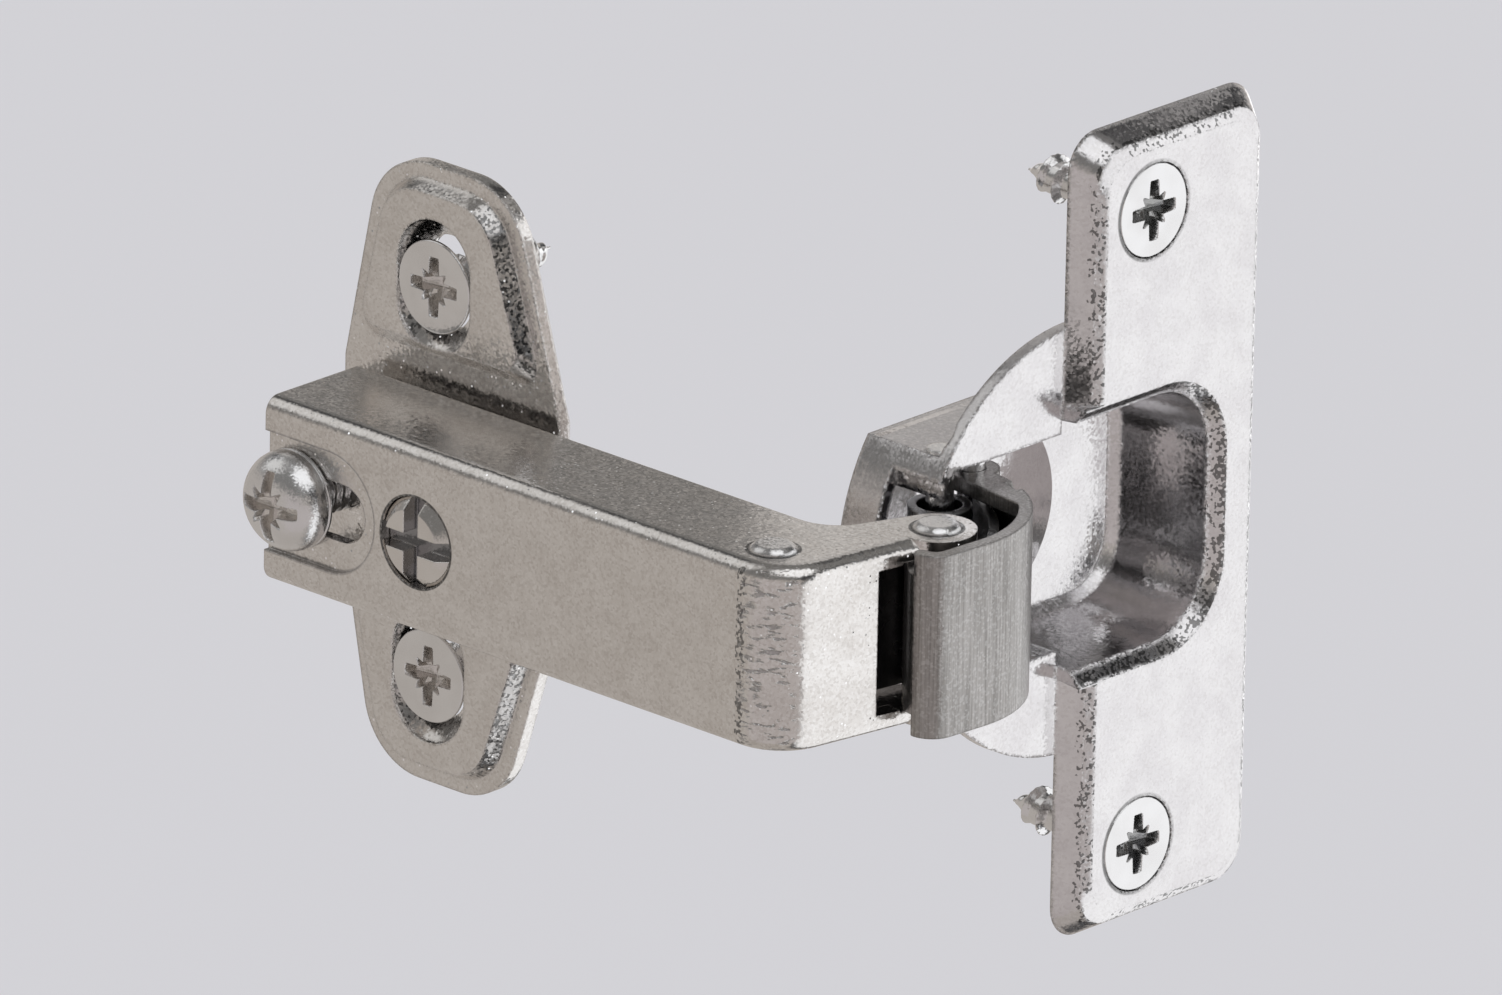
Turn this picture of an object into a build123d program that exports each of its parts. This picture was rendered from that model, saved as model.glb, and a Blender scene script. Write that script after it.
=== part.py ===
from build123d import *
from math import atan2, cos, degrees, radians, sin, sqrt, tan
import os

# Concealed hinge with a 35 mm cup, a long bent arm and a screw-on mounting plate. Millimetres, +Z up.
# The origin is on the cabinet panel, midway between the mounting plate's two screws.
# +X points into that panel, and the door's cup lies towards -Y.

# Fits and gaps
PRESS_GAP = 0.02
RUNNING_GAP = 0.06
SLIDING_GAP = 0.2
LINK_GAP = 0.35
TOUCH_GAP = 0.1
HOLE_GAP = 0.3

# Mounting plate
PLATE_SCREW_SPACING = 32.0
PLATE_SHEET = 1.2
PAD_RISE = 2.5
PLATE_HALF_HEIGHT = 25.3
PLATE_BASE_WIDTH = 22.8
PLATE_TOP_WIDTH = 13.9
PLATE_BASE_SHIFT = -0.9
PLATE_TOP_SHIFT = 0.0
PLATE_CORNER = 6.0
PLATE_RIM = 1.2
PAD_CORNER = 1.5
PAD_START = 2.4
PAD_SIDE_LEAN = 0.65
PAD_FOOT_LEAN = 1.25
SLOT_TRAVEL = 3.2
BRIDGE_HEIGHT = 7.0
BRIDGE_SHEET = 1.5
COLLAR_WALL = 1.2
COLLAR_DEPTH = 1.4
COLLAR_SIDES = 12

# Wood screws with countersunk heads
HEAD_RADIUS = 3.75
SHANK_RADIUS = 1.9
SCREW_LENGTH = 13.0
HEAD_LAND = 0.3
SEAT_GAP = 0.1
RECESS_REACH = 2.3
RECESS_WIDTH = 1.1
RECESS_DEPTH = 1.9

# Arm, a folded channel whose open side faces the panel
ARM_SHEET = 1.5
ARM_HEIGHT = 15.1
ARM_STANDOFF = 12.8
ARM_REAR = 7.8
ARM_BEND = 5.0
ARM_FOLD = 1.3
INNER_BEND = 4.0
TIP_RADIUS = 3.1
SHORT_LEG_TILT = 9.0
PIN_SETBACK = 1.5
WEB_END = 4.4
WINDOW_START = 6.7
REAR_PIN = (-8.8, -41.9)
FRONT_PIN = (3.5, -47.4)

# Arm pins and their riveted heads
PIN_RADIUS = 1.25
RIVET_RADIUS = 2.0
RIVET_HEIGHT = 0.5
RIVET_CROWN_RADIUS = 1.4

# Fixing screw, and the slot in which the arm slides past it
FIXING_Y = 4.9
FIXING_RADIUS = 2.1
FIXING_HEAD_RADIUS = 4.0
FIXING_HEAD_HEIGHT = 3.4
FIXING_HEAD_EDGE = 0.8
FIXING_SHOULDER = (3.3, 2.4)
FIXING_CROWN_RADIUS = 2.0
FIXING_LENGTH = 9.0
SLOT_GAP = 0.25
ARM_TRAVEL = 5.0
SLOT_PAD_WIDTH = 9.8
SLOT_PAD_DEPTH = 0.5
SLOT_PAD_MARGIN = 1.4

# Overlay screw, which is threaded in the arm and ends in a foot under the plate's bridge
OVERLAY_Y = -8.3
OVERLAY_RADIUS = 3.6
OVERLAY_PROUD = 0.6
OVERLAY_FACE_RADIUS = 2.7
OVERLAY_SHOULDER = 0.9
OVERLAY_BODY = 4.3
NECK_RADIUS = 2.0
FOOT_RADIUS = 3.2
FOOT_HEIGHT = 1.2
CROSS_WIDTH = 1.5
CROSS_DEPTH = 1.5

# Cup, pressed from sheet: its centre lies on the door's face
CUP_CENTRE = (24.3, -42.7)
CUP_RADIUS = 17.5
CUP_SHEET = 1.1
CUP_DEPTH = 7.4
CUP_SCREW_SPACING = 52.0
CUP_SCREW_OFFSET = 5.5
FLANGE_RISE = 2.5
FLANGE_LEFT = -1.7
FLANGE_RIGHT = 19.2
FLANGE_HALF_HEIGHT = 33.0
FLANGE_CORNER = 3.0
FLANGE_SLOPE = 31.0
FLANGE_EDGE = 0.5
MOUTH_HALF_HEIGHT = 10.3
MOUTH_RIGHT = 13.6
MOUTH_CORNER = 6.0
TROUGH_LEAN = 1.0
FLOOR_STEP = 0.8
FLOOR_STEP_LEAN = 45.0
CHEEK_GAP = 1.5
CHEEK_CUT_DEPTH = 5.0
CHEEK_CUT_LENGTH = 2.6
MOUTH_LIP = 1.0
SEAT_WALL = 1.1

# Cup pins, placed from the cup's centre
OUTER_CUP_PIN = (-9.0, 2.6)
INNER_CUP_PIN = (-13.2, 2.0)
CUP_PIN_RADIUS = 1.1
CUP_PIN_PROUD = 0.3

# Outer link, a rolled shell round the front pin
LINK_SHEET = 1.1
CURL_CENTRE = (-2.95, -2.55)
CURL_RADIUS = 2.05
KNEE_RUN = 3.6
KNEE_ANGLE = -4.0
SHELL_END = (-0.2, -2.4)
SHELL_INSET = 0.15
LUG_SHEET = 1.2
LUG_RADIUS = 2.2
LUG_SHARE = 0.55
NOTCH_DEPTH = 1.6
NOTCH_WIDTH = 1.8
NOTCH_SHARE = 0.84

# Inner link, a cranked bar round the rear pin
BAR_THICKNESS = 1.8
BAR_EYE_RADIUS = 2.5
BAR_CRANK = (13.2, -2.1)
BAR_CRANK_RADIUS = 6.0
OPEN_PIVOT_GAP = 0.7

# Leaf spring between the front pin's eye and the outer cup pin
SPRING_SHEET = 0.8
SPRING_HOOK_START = -98.0
SPRING_HOOK_END = -75.0
SPRING_PIN_ANGLE = -118.0

# Sizes that follow from those above
web_x = -ARM_STANDOFF
web_inner_x = web_x + ARM_SHEET
arm_edge_x = -(PAD_RISE + SLIDING_GAP)
channel_half = ARM_HEIGHT / 2 - ARM_SHEET
bridge_half = channel_half - SLIDING_GAP
eye_half = channel_half - LINK_GAP
window_half = eye_half + LINK_GAP / 2
shell_half = ARM_HEIGHT / 2 - SHELL_INSET
cheek_half = shell_half + CHEEK_GAP
cup_pin_half = cheek_half + CUP_SHEET
eye_radius = PIN_RADIUS + RUNNING_GAP + LINK_SHEET
slot_half_width = SHANK_RADIUS + HOLE_GAP
outer_cup_pin = (CUP_CENTRE[0] + OUTER_CUP_PIN[0], CUP_CENTRE[1] + OUTER_CUP_PIN[1])
inner_cup_pin = (CUP_CENTRE[0] + INNER_CUP_PIN[0], CUP_CENTRE[1] + INNER_CUP_PIN[1])
overcut = PLATE_SHEET
reach = 3 * FLANGE_HALF_HEIGHT

panel = Plane(origin=(0, 0, 0), x_dir=(0, -1, 0), z_dir=(-1, 0, 0))
door = Plane(origin=(CUP_CENTRE[0], CUP_CENTRE[1], 0), x_dir=(1, 0, 0), z_dir=(0, -1, 0))


def polar(centre, radius, angle):
    """A plan point at an angle in degrees round a centre."""
    return (centre[0] + radius * cos(radians(angle)), centre[1] + radius * sin(radians(angle)))


def shifted(point, dx, dy):
    return (point[0] + dx, point[1] + dy)


def plan(place):
    return (place.X, place.Y)


def slab(sketch, half_height):
    """A plan outline with its height shared evenly above and below the middle."""
    return extrude(sketch, amount=half_height, both=True)


def upright(point, radius, half_height):
    return Pos(point[0], point[1], 0) * Cylinder(radius, 2 * half_height)


def strip(path, sheet):
    """A plan outline of bent sheet, from its middle line."""
    return make_face(offset(path, amount=sheet / 2, side=Side.BOTH, closed=True, kind=Kind.ARC))


def block(radius, height):
    """A many-sided block that stands on Z = 0, for round forms that stay hidden."""
    return extrude(RegularPolygon(radius, COLLAR_SIDES), amount=height)


def turned(*outline):
    """A solid turned round Z from its half outline, drawn as points of radius and height."""
    return revolve(Plane.XZ * Polygon(*outline, align=None), Axis.Z)


def cross_recess():
    """The drive recess of a screw, with its mouth at Z = 0."""
    across = Rectangle(2 * RECESS_REACH, RECESS_WIDTH) + Rectangle(RECESS_WIDTH, 2 * RECESS_REACH)
    return extrude(across, amount=-RECESS_DEPTH)


def wood_screw():
    """A countersunk wood screw pointing down, with its head's face at Z = 0."""
    neck = HEAD_LAND + HEAD_RADIUS - SHANK_RADIUS
    body = turned(
        (0, 0),
        (HEAD_RADIUS, 0),
        (HEAD_RADIUS, -HEAD_LAND),
        (SHANK_RADIUS, -neck),
        (SHANK_RADIUS, -SCREW_LENGTH),
        (0, -SCREW_LENGTH),
    )
    return body - cross_recess()


def screw_seat(travel):
    """The countersunk hole under a wood screw's head, lengthened by the travel along Y."""
    mouth = HEAD_RADIUS + SEAT_GAP
    depth = mouth - slot_half_width
    wide = Rot(0, 0, 90) * slot_shape(mouth, travel)
    narrow = Pos(0, 0, -depth) * (Rot(0, 0, 90) * slot_shape(slot_half_width, travel))
    sunk = loft([Pos(0, 0, -HEAD_LAND) * wide, Pos(0, 0, -HEAD_LAND) * narrow])
    land = extrude(wide, amount=-HEAD_LAND)
    through = extrude(Rot(0, 0, 90) * slot_shape(slot_half_width, travel), amount=-2 * PAD_RISE)
    return land + sunk + through


def slot_shape(half_width, travel):
    if travel > 0:
        return SlotCenterToCenter(travel, 2 * half_width)
    return Circle(half_width)


def plate_outline(inset, start):
    """One wing of the mounting plate, from a height above the arm's middle to its top."""
    base_width = PLATE_BASE_WIDTH / 2
    top_width = PLATE_TOP_WIDTH / 2
    base_height = ARM_HEIGHT / 2
    slope = (base_width - top_width) / (PLATE_HALF_HEIGHT - base_height)
    lift = max(start - base_height, 0)
    share = lift / (PLATE_HALF_HEIGHT - base_height)
    start_shift = PLATE_BASE_SHIFT + share * (PLATE_TOP_SHIFT - PLATE_BASE_SHIFT)
    start_width = base_width - slope * lift - inset
    top = PLATE_HALF_HEIGHT - inset
    top_width = top_width - inset
    wing = Polygon(
        (-start_shift - start_width, start),
        (-start_shift + start_width, start),
        (-PLATE_TOP_SHIFT + top_width, top),
        (-PLATE_TOP_SHIFT - top_width, top),
        align=None,
    )
    wing = fillet(wing.vertices().group_by(Axis.Y)[-1], PLATE_CORNER - inset)
    if start > base_height:
        wing = fillet(wing.vertices().group_by(Axis.Y)[0], PAD_CORNER)
    return wing


def plate_pad():
    """The raised pad of the upper wing, with sloping sides."""
    start = ARM_HEIGHT / 2 + PAD_START
    low = plate_outline(PLATE_RIM, start)
    high = plate_outline(PLATE_RIM + PAD_SIDE_LEAN, start + PAD_FOOT_LEAN)
    return loft([panel * Pos(0, 0, PLATE_SHEET) * low, panel * Pos(0, 0, PAD_RISE) * high])


def mounting_plate():
    """Pressed plate with two raised wings and a bridge that the arm straddles."""
    half_base = ARM_HEIGHT / 2
    base_sheet = Pos(-PLATE_BASE_SHIFT, 0) * Rectangle(PLATE_BASE_WIDTH, 2 * half_base)
    wing = plate_outline(0, half_base)
    sheet = base_sheet + wing + mirror(wing, Plane.XZ)
    plate = extrude(panel * sheet, amount=PLATE_SHEET)
    bridge_outline = Pos(-PLATE_BASE_SHIFT, 0) * Rectangle(PLATE_BASE_WIDTH, 2 * bridge_half)
    bridge = extrude(panel * bridge_outline, amount=BRIDGE_HEIGHT)
    bridge = fillet(bridge.edges().filter_by(Axis.Y).group_by(Axis.X)[0], BRIDGE_SHEET / 2)
    tunnel_outline = Pos(-PLATE_BASE_SHIFT, 0) * Rectangle(
        PLATE_BASE_WIDTH + 2 * overcut, 2 * (bridge_half - BRIDGE_SHEET)
    )
    tunnel = extrude(panel * tunnel_outline, amount=BRIDGE_HEIGHT - BRIDGE_SHEET)
    plate = plate + bridge - tunnel

    pad = plate_pad()
    seat = panel * Pos(0, PLATE_SCREW_SPACING / 2, PAD_RISE) * screw_seat(SLOT_TRAVEL)
    for piece in (pad, mirror(pad, Plane.XY)):
        plate = plate + piece
    for piece in (seat, mirror(seat, Plane.XY)):
        plate = plate - piece

    depth = BRIDGE_SHEET + COLLAR_DEPTH
    collar_place = Pos(-BRIDGE_HEIGHT, FIXING_Y, 0) * Rot(0, 90, 0)
    plate = plate + collar_place * block(FIXING_RADIUS + RUNNING_GAP + COLLAR_WALL, depth)
    plate = plate - collar_place * Cylinder(FIXING_RADIUS + RUNNING_GAP, 2 * depth)
    neck_half = NECK_RADIUS + SLIDING_GAP
    slot_end = OVERLAY_Y + ARM_TRAVEL + SLOT_GAP
    slot_front = PLATE_BASE_SHIFT - PLATE_BASE_WIDTH / 2 - overcut
    neck_slot = Pos(-BRIDGE_HEIGHT + BRIDGE_SHEET / 2, (slot_front + slot_end) / 2, 0) * Box(
        BRIDGE_SHEET + overcut, slot_end - slot_front, 2 * neck_half
    )
    slot_round = Pos(-BRIDGE_HEIGHT + BRIDGE_SHEET / 2, slot_end, 0) * Rot(0, 90, 0) * Cylinder(
        neck_half, BRIDGE_SHEET + overcut
    )
    return plate - neck_slot - slot_round


def short_leg_point(along, behind):
    """A plan point from the front pin's foot on the short leg's outer face."""
    tilt = radians(SHORT_LEG_TILT)
    foot = (FRONT_PIN[0] - PIN_SETBACK * sin(tilt), FRONT_PIN[1] - PIN_SETBACK * cos(tilt))
    return (
        foot[0] + along * cos(tilt) + behind * sin(tilt),
        foot[1] - along * sin(tilt) + behind * cos(tilt),
    )


def web_corner(inset):
    """Where the two legs of the arm's web would meet, at a depth below its outer face."""
    start = short_leg_point(0, inset)
    run = (start[0] - (web_x + inset)) / cos(radians(SHORT_LEG_TILT))
    return short_leg_point(-run, inset)


def arm_flange():
    """Plan outline of the arm's two flanges, round the front pin at their tip."""
    corner = web_corner(0)
    tip_front = short_leg_point(0, 0)
    tip_rear = polar(FRONT_PIN, TIP_RADIUS, 90 - 2 * SHORT_LEG_TILT)
    inner_corner = (arm_edge_x, REAR_PIN[1] + TOUCH_GAP)
    leg = Polygon(
        (web_x, ARM_REAR),
        corner,
        tip_front,
        FRONT_PIN,
        tip_rear,
        inner_corner,
        (arm_edge_x, ARM_REAR),
        align=None,
    )
    leg = fillet(leg.vertices().sort_by_distance(Vector(*corner))[0], ARM_BEND)
    leg = fillet(leg.vertices().sort_by_distance(Vector(*inner_corner))[0], INNER_BEND)
    return leg + Pos(*FRONT_PIN) * Circle(TIP_RADIUS)


def channel_space():
    """Plan outline of everything behind the arm's web."""
    corner = web_corner(ARM_SHEET)
    behind = Polygon(
        (web_inner_x, ARM_REAR + reach),
        corner,
        short_leg_point(reach, ARM_SHEET),
        (arm_edge_x + reach, ARM_REAR + reach),
        align=None,
    )
    behind = fillet(behind.vertices().sort_by_distance(Vector(*corner))[0], ARM_BEND - ARM_SHEET)
    return behind + beyond(WEB_END)


def beyond(distance):
    """Plan outline of the space past a place on the short leg."""
    return Polygon(
        short_leg_point(-distance, -ARM_BEND),
        short_leg_point(ARM_BEND, -ARM_BEND),
        short_leg_point(ARM_BEND, ARM_BEND),
        short_leg_point(-distance, ARM_BEND),
        align=None,
    )


def is_web_edge(edge):
    """True for the long edges at which the web is folded into the flanges."""
    middle = edge.position_at(0.5)
    if abs(abs(middle.Z) - ARM_HEIGHT / 2) > 0.01:
        return False
    tilt = radians(SHORT_LEG_TILT)
    foot = short_leg_point(0, 0)
    front = (middle.X - foot[0]) * sin(tilt) + (middle.Y - foot[1]) * cos(tilt)
    in_bend = middle.X < web_x + ARM_BEND and middle.Y < web_corner(0)[1] + ARM_BEND
    return abs(middle.X - web_x) < 0.01 or in_bend or (abs(front) < 0.01 and middle.X < foot[0])


def along_x(x_from, x_to, sketch):
    """A solid from an outline in local (Y, Z), between two places along X."""
    face = Plane(origin=(x_from, 0, 0), x_dir=(0, 1, 0), z_dir=(1, 0, 0)) * sketch
    return extrude(face, amount=x_to - x_from)


def open_slot(half_width, closed_end):
    """Outline of a slot that is open at the arm's rear end."""
    centre = closed_end + half_width
    rear = ARM_REAR + overcut
    return Pos((centre + rear) / 2, 0) * Rectangle(rear - centre, 2 * half_width) + Pos(
        centre, 0
    ) * Circle(half_width)


def hinge_arm():
    """Folded channel with a slot, a threaded hole and a window for the outer link."""
    arm = slab(arm_flange(), ARM_HEIGHT / 2)
    arm = fillet([edge for edge in arm.edges() if is_web_edge(edge)], ARM_FOLD)
    arm = arm - slab(channel_space(), channel_half) - slab(beyond(WINDOW_START), window_half)
    slot_end = FIXING_Y - ARM_TRAVEL - FIXING_RADIUS - SLOT_GAP
    slot_half = FIXING_RADIUS + SLOT_GAP
    pad_half = SLOT_PAD_WIDTH / 2
    arm = arm - along_x(web_x - overcut, web_inner_x + overcut, open_slot(slot_half, slot_end))
    arm = arm - along_x(web_x - overcut, web_x + SLOT_PAD_DEPTH, open_slot(pad_half, slot_end - SLOT_PAD_MARGIN))
    hole = OVERLAY_RADIUS + RUNNING_GAP
    collar_end = web_inner_x + COLLAR_DEPTH
    collar = Pos(OVERLAY_Y, 0) * RegularPolygon(hole + COLLAR_WALL, COLLAR_SIDES)
    arm = arm + along_x(web_inner_x, collar_end, collar)
    arm = arm - along_x(web_x - overcut, collar_end, Pos(OVERLAY_Y, 0) * Circle(hole))
    for pin in (REAR_PIN, FRONT_PIN):
        arm = arm - upright(pin, PIN_RADIUS + PRESS_GAP, ARM_HEIGHT)
    return arm


def riveted_pin(point, radius, head_radius, half_span):
    """A pin whose two ends are riveted over outside what it holds."""
    upper_half = turned(
        (0, 0),
        (radius, 0),
        (radius, half_span),
        (head_radius, half_span),
        (RIVET_CROWN_RADIUS, half_span + RIVET_HEIGHT),
        (0, half_span + RIVET_HEIGHT),
    )
    return Pos(point[0], point[1], 0) * (upper_half + mirror(upper_half, Plane.XY))


def fixing_screw():
    """Pan-head machine screw that clamps the arm on the plate."""
    seat_x = web_x + SLOT_PAD_DEPTH - TOUCH_GAP
    screw = turned(
        (0, -FIXING_LENGTH),
        (FIXING_RADIUS, -FIXING_LENGTH),
        (FIXING_RADIUS, 0),
        (FIXING_HEAD_RADIUS, 0),
        (FIXING_HEAD_RADIUS, FIXING_HEAD_EDGE),
        FIXING_SHOULDER,
        (FIXING_CROWN_RADIUS, FIXING_HEAD_HEIGHT),
        (0, FIXING_HEAD_HEIGHT),
    )
    screw = screw - Pos(0, 0, FIXING_HEAD_HEIGHT) * cross_recess()
    return Pos(seat_x, FIXING_Y, 0) * Rot(0, -90, 0) * screw


def overlay_screw():
    """Adjusting screw with a cross slot, a neck and a foot that the bridge traps."""
    face_x = web_x - OVERLAY_PROUD
    foot_top = -BRIDGE_HEIGHT + BRIDGE_SHEET + SLIDING_GAP
    neck_length = foot_top - (face_x + OVERLAY_BODY)
    screw = turned(
        (0, 0),
        (OVERLAY_FACE_RADIUS, 0),
        (OVERLAY_RADIUS, -OVERLAY_SHOULDER),
        (OVERLAY_RADIUS, -OVERLAY_BODY),
        (NECK_RADIUS, -OVERLAY_BODY),
        (NECK_RADIUS, -OVERLAY_BODY - neck_length),
        (0, -OVERLAY_BODY - neck_length),
    )
    screw = screw + Pos(0, 0, -OVERLAY_BODY - neck_length - FOOT_HEIGHT) * block(FOOT_RADIUS, FOOT_HEIGHT)
    bar = Pos(0, 0, -CROSS_DEPTH / 2) * Box(2 * OVERLAY_RADIUS + overcut, CROSS_WIDTH, CROSS_DEPTH)
    screw = screw - bar - Rot(0, 0, 90) * bar
    return Pos(face_x, OVERLAY_Y, 0) * Rot(0, -90, 0) * screw


def shell_path():
    """Middle lines of the outer link: the curl's front half, the knee and the long arc."""
    middle = CURL_RADIUS - LINK_SHEET / 2
    centre = shifted(FRONT_PIN, *CURL_CENTRE)
    knee_start = polar(centre, middle, 270 + KNEE_ANGLE)
    curl = CenterArc(centre, middle, 180, 90 + KNEE_ANGLE)
    heading = (cos(radians(KNEE_ANGLE)), sin(radians(KNEE_ANGLE)))
    knee_end = shifted(knee_start, KNEE_RUN * heading[0], KNEE_RUN * heading[1])
    end = shifted(outer_cup_pin, *SHELL_END)
    knee = Line(knee_start, knee_end)
    arc = TangentArc(knee_end, end, tangent=heading)
    return Wire([curl, knee, arc]), arc


def neck_path():
    """Middle line from the curl back to the eye round the front pin, and round the eye."""
    middle = CURL_RADIUS - LINK_SHEET / 2
    eye_middle = eye_radius - LINK_SHEET / 2
    centre = shifted(FRONT_PIN, *CURL_CENTRE)
    run = atan2(CURL_CENTRE[1], CURL_CENTRE[0])
    span = sqrt(CURL_CENTRE[0] ** 2 + CURL_CENTRE[1] ** 2)
    lean = sin_ratio(eye_middle - middle, span)
    side = degrees(run) - 90 - lean + 360
    curl = CenterArc(centre, middle, side, 180 - side)
    return Wire([curl, Line(polar(FRONT_PIN, eye_middle, side), polar(centre, middle, side))])


def sin_ratio(rise, length):
    """The angle in degrees whose sine is rise over length."""
    return degrees(atan2(rise, sqrt(length ** 2 - rise ** 2)))


def shell_notch(arc):
    """The space of the V notch in the shell's upper rim."""
    place = arc.position_at(NOTCH_SHARE)
    out = arc.tangent_at(NOTCH_SHARE)
    mouth = NOTCH_WIDTH / 2
    rim = Plane(origin=(place.X, place.Y, shell_half), x_dir=out, z_dir=(out.Y, -out.X, 0))
    outline = Polygon((-mouth, 0), (mouth, 0), (0, -NOTCH_DEPTH), align=None)
    return extrude(rim * outline, amount=LINK_SHEET, both=True)


def outer_link():
    """Rolled shell with an eye on the front pin and two lugs on the outer cup pin."""
    shell, arc = shell_path()
    link = slab(strip(shell, LINK_SHEET), shell_half)
    link = link - shell_notch(arc)
    link = link + slab(strip(neck_path(), LINK_SHEET), eye_half)
    link = link + upright(FRONT_PIN, eye_radius, eye_half)

    lug_middle_share = (1 + LUG_SHARE) / 2
    lug_outline = Polygon(
        plan(arc.position_at(LUG_SHARE)),
        plan(arc.position_at(lug_middle_share)),
        plan(arc.position_at(1)),
        polar(outer_cup_pin, LUG_RADIUS, 0),
        polar(outer_cup_pin, LUG_RADIUS, 180),
        align=None,
    )
    lug_outline = lug_outline + Pos(*outer_cup_pin) * Circle(LUG_RADIUS)
    lug_middle = shell_half - LUG_SHEET / 2
    lug = Pos(0, 0, lug_middle) * slab(lug_outline, LUG_SHEET / 2)
    link = link + lug + mirror(lug, Plane.XY)
    link = link - upright(FRONT_PIN, PIN_RADIUS + RUNNING_GAP, ARM_HEIGHT)
    return link - upright(outer_cup_pin, CUP_PIN_RADIUS + RUNNING_GAP, ARM_HEIGHT)


def inner_link():
    """Cranked bar with an eye on the rear pin and a wider eye round the inner cup pin."""
    crank = shifted(REAR_PIN, *BAR_CRANK)
    path = FilletPolyline(REAR_PIN, crank, inner_cup_pin, radius=BAR_CRANK_RADIUS)
    bar = slab(strip(path, BAR_THICKNESS), eye_half)
    rear_eye = PIN_RADIUS + RUNNING_GAP
    cup_eye = CUP_PIN_RADIUS + OPEN_PIVOT_GAP
    bar = bar + upright(REAR_PIN, BAR_EYE_RADIUS, eye_half)
    bar = bar + upright(inner_cup_pin, BAR_EYE_RADIUS, eye_half)
    return bar - upright(REAR_PIN, rear_eye, ARM_HEIGHT) - upright(inner_cup_pin, cup_eye, ARM_HEIGHT)


def leaf_spring():
    """Curved leaf that seats on the outer link's eye and bears on the outer cup pin."""
    radius = eye_radius + TOUCH_GAP + SPRING_SHEET / 2
    hook = CenterArc(FRONT_PIN, radius, SPRING_HOOK_START, SPRING_HOOK_END - SPRING_HOOK_START)
    start = polar(FRONT_PIN, radius, SPRING_HOOK_END)
    heading = SPRING_HOOK_END + 90
    reach = CUP_PIN_RADIUS + TOUCH_GAP + SPRING_SHEET / 2
    end = polar(outer_cup_pin, reach, SPRING_PIN_ANGLE)
    leaf = TangentArc(start, end, tangent=(cos(radians(heading)), sin(radians(heading))))
    return slab(strip(Wire([hook, leaf]), SPRING_SHEET), eye_half - SLIDING_GAP)


def flange_block(inset, rise, edge):
    """The cup's raised flange as a block with sloping sides and a bevelled edge, above the door's face."""
    middle = (FLANGE_RIGHT + FLANGE_LEFT) / 2
    slope = tan(radians(FLANGE_SLOPE))
    levels = [(0, 0), (rise, edge)]
    if edge > 0:
        levels.insert(1, (rise - edge, 0))
    sections = []
    for height, bevel in levels:
        narrowing = inset + height * slope + bevel
        width = FLANGE_RIGHT - FLANGE_LEFT - 2 * narrowing
        tall = 2 * (FLANGE_HALF_HEIGHT - narrowing)
        sections.append(Pos(middle, 0, height) * RectangleRounded(width, tall, FLANGE_CORNER))
    return door * loft(sections, ruled=True)


def cup_trough(wall, depth):
    """The space inside the cup, or its outer form where a wall is given."""
    wall_depth = FLANGE_RISE + depth - FLOOR_STEP
    lean = degrees(atan2(TROUGH_LEAN, wall_depth))
    sides = extrude(
        Pos(0, 0, FLANGE_RISE) * trough_outline(MOUTH_RIGHT + wall, MOUTH_HALF_HEIGHT + wall, MOUTH_CORNER + wall),
        amount=-wall_depth,
        taper=lean,
    )
    knee = trough_outline(
        MOUTH_RIGHT + wall - TROUGH_LEAN, MOUTH_HALF_HEIGHT + wall - TROUGH_LEAN, MOUTH_CORNER + wall - TROUGH_LEAN
    )
    step = extrude(Pos(0, 0, FLOOR_STEP - depth) * knee, amount=-FLOOR_STEP, taper=FLOOR_STEP_LEAN)
    return door * (sides + step)


def trough_outline(right, half_height, corner):
    """The trough's rounded outline, open past the cup's round on its left."""
    left = -CUP_RADIUS - 2 * overcut
    width = right - left
    return Pos(left + width / 2, 0, 0) * RectangleRounded(width, 2 * half_height, corner)


def mouth_flare():
    """The sloping lip round the cup's mouth, as the space that it leaves."""
    sections = []
    for spread in (0, MOUTH_LIP):
        outline = trough_outline(MOUTH_RIGHT + spread, MOUTH_HALF_HEIGHT + spread, MOUTH_CORNER + spread)
        sections.append(Pos(0, 0, FLANGE_RISE - MOUTH_LIP + spread) * outline)
    return door * loft(sections, ruled=True)


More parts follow.
